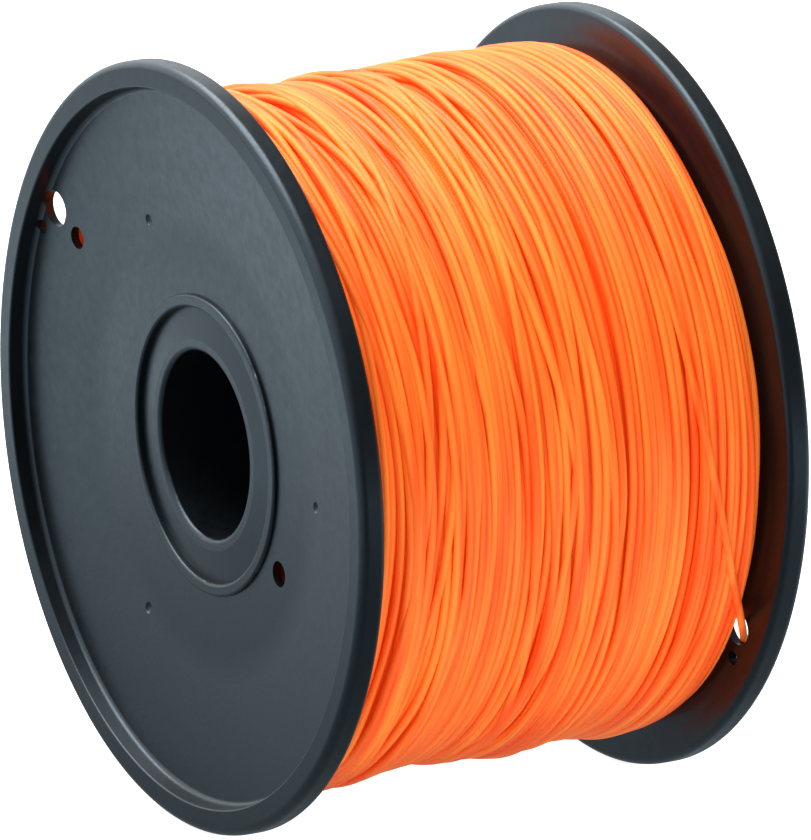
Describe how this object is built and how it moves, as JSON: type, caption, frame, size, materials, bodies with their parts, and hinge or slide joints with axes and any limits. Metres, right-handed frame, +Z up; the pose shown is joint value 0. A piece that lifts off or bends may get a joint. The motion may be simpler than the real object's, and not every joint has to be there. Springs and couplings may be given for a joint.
{
  "type": "filament spool",
  "caption": "Black plastic filament spool with dished flanges and a central bore, wound full of orange filament whose outer end is tucked through the rear flange.",
  "frame": {"origin": "on the spool's axis at mid-width", "axes": "+Y along the spool's axis towards the rear flange, whose tie hole holds the filament's outer end; +Z up"},
  "size_m": [0.16, 0.104, 0.16],
  "materials": {
    "black_plastic": "satin moulded",
    "orange_filament": "soft gloss"
  },
  "bodies": {
    "root": {"front_flange": "black_plastic", "rear_flange": "black_plastic", "winding_drum": "black_plastic", "front_hub_end": "black_plastic", "rear_hub_end": "black_plastic", "filament_winding": "orange_filament", "filament_tail": "orange_filament", "filament_start": "orange_filament"}
  },
  "joints": []
}
